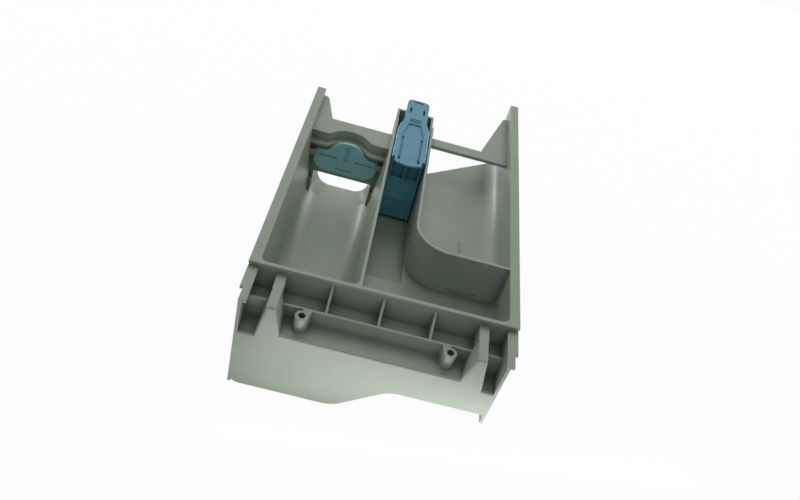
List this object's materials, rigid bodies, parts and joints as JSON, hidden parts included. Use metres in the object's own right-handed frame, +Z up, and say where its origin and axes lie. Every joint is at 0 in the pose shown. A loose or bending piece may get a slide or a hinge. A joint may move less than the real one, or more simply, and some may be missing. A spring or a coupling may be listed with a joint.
{
  "type": "detergent dispenser drawer",
  "caption": "Moulded washing machine drawer tray with wash, prewash and softener compartments, side rails, an open front section, a siphon cap and a sliding liquid gate.",
  "frame": {"origin": "middle of the overall box in X and Y, at the height of the lowest edge of the front panel", "axes": "+X to the right seen from the front, +Y from the front panel to the rear, +Z up out of the compartments"},
  "size_m": [0.18, 0.314, 0.087],
  "materials": {
    "tray_plastic": "satin moulded grey polypropylene",
    "cap_plastic": "semi-gloss moulded blue polypropylene",
    "flap_plastic": "semi-gloss moulded pale blue polypropylene"
  },
  "bodies": {
    "tray": {"drawer_tray": "tray_plastic", "siphon_cap": "cap_plastic"},
    "flap": {"detergent_flap": "flap_plastic"}
  },
  "joints": [
    {"name": "flap_slide", "type": "slide", "parent": "tray", "child": "flap", "axis": [0, 0, -1], "range_m": [0, 0.028]}
  ]
}
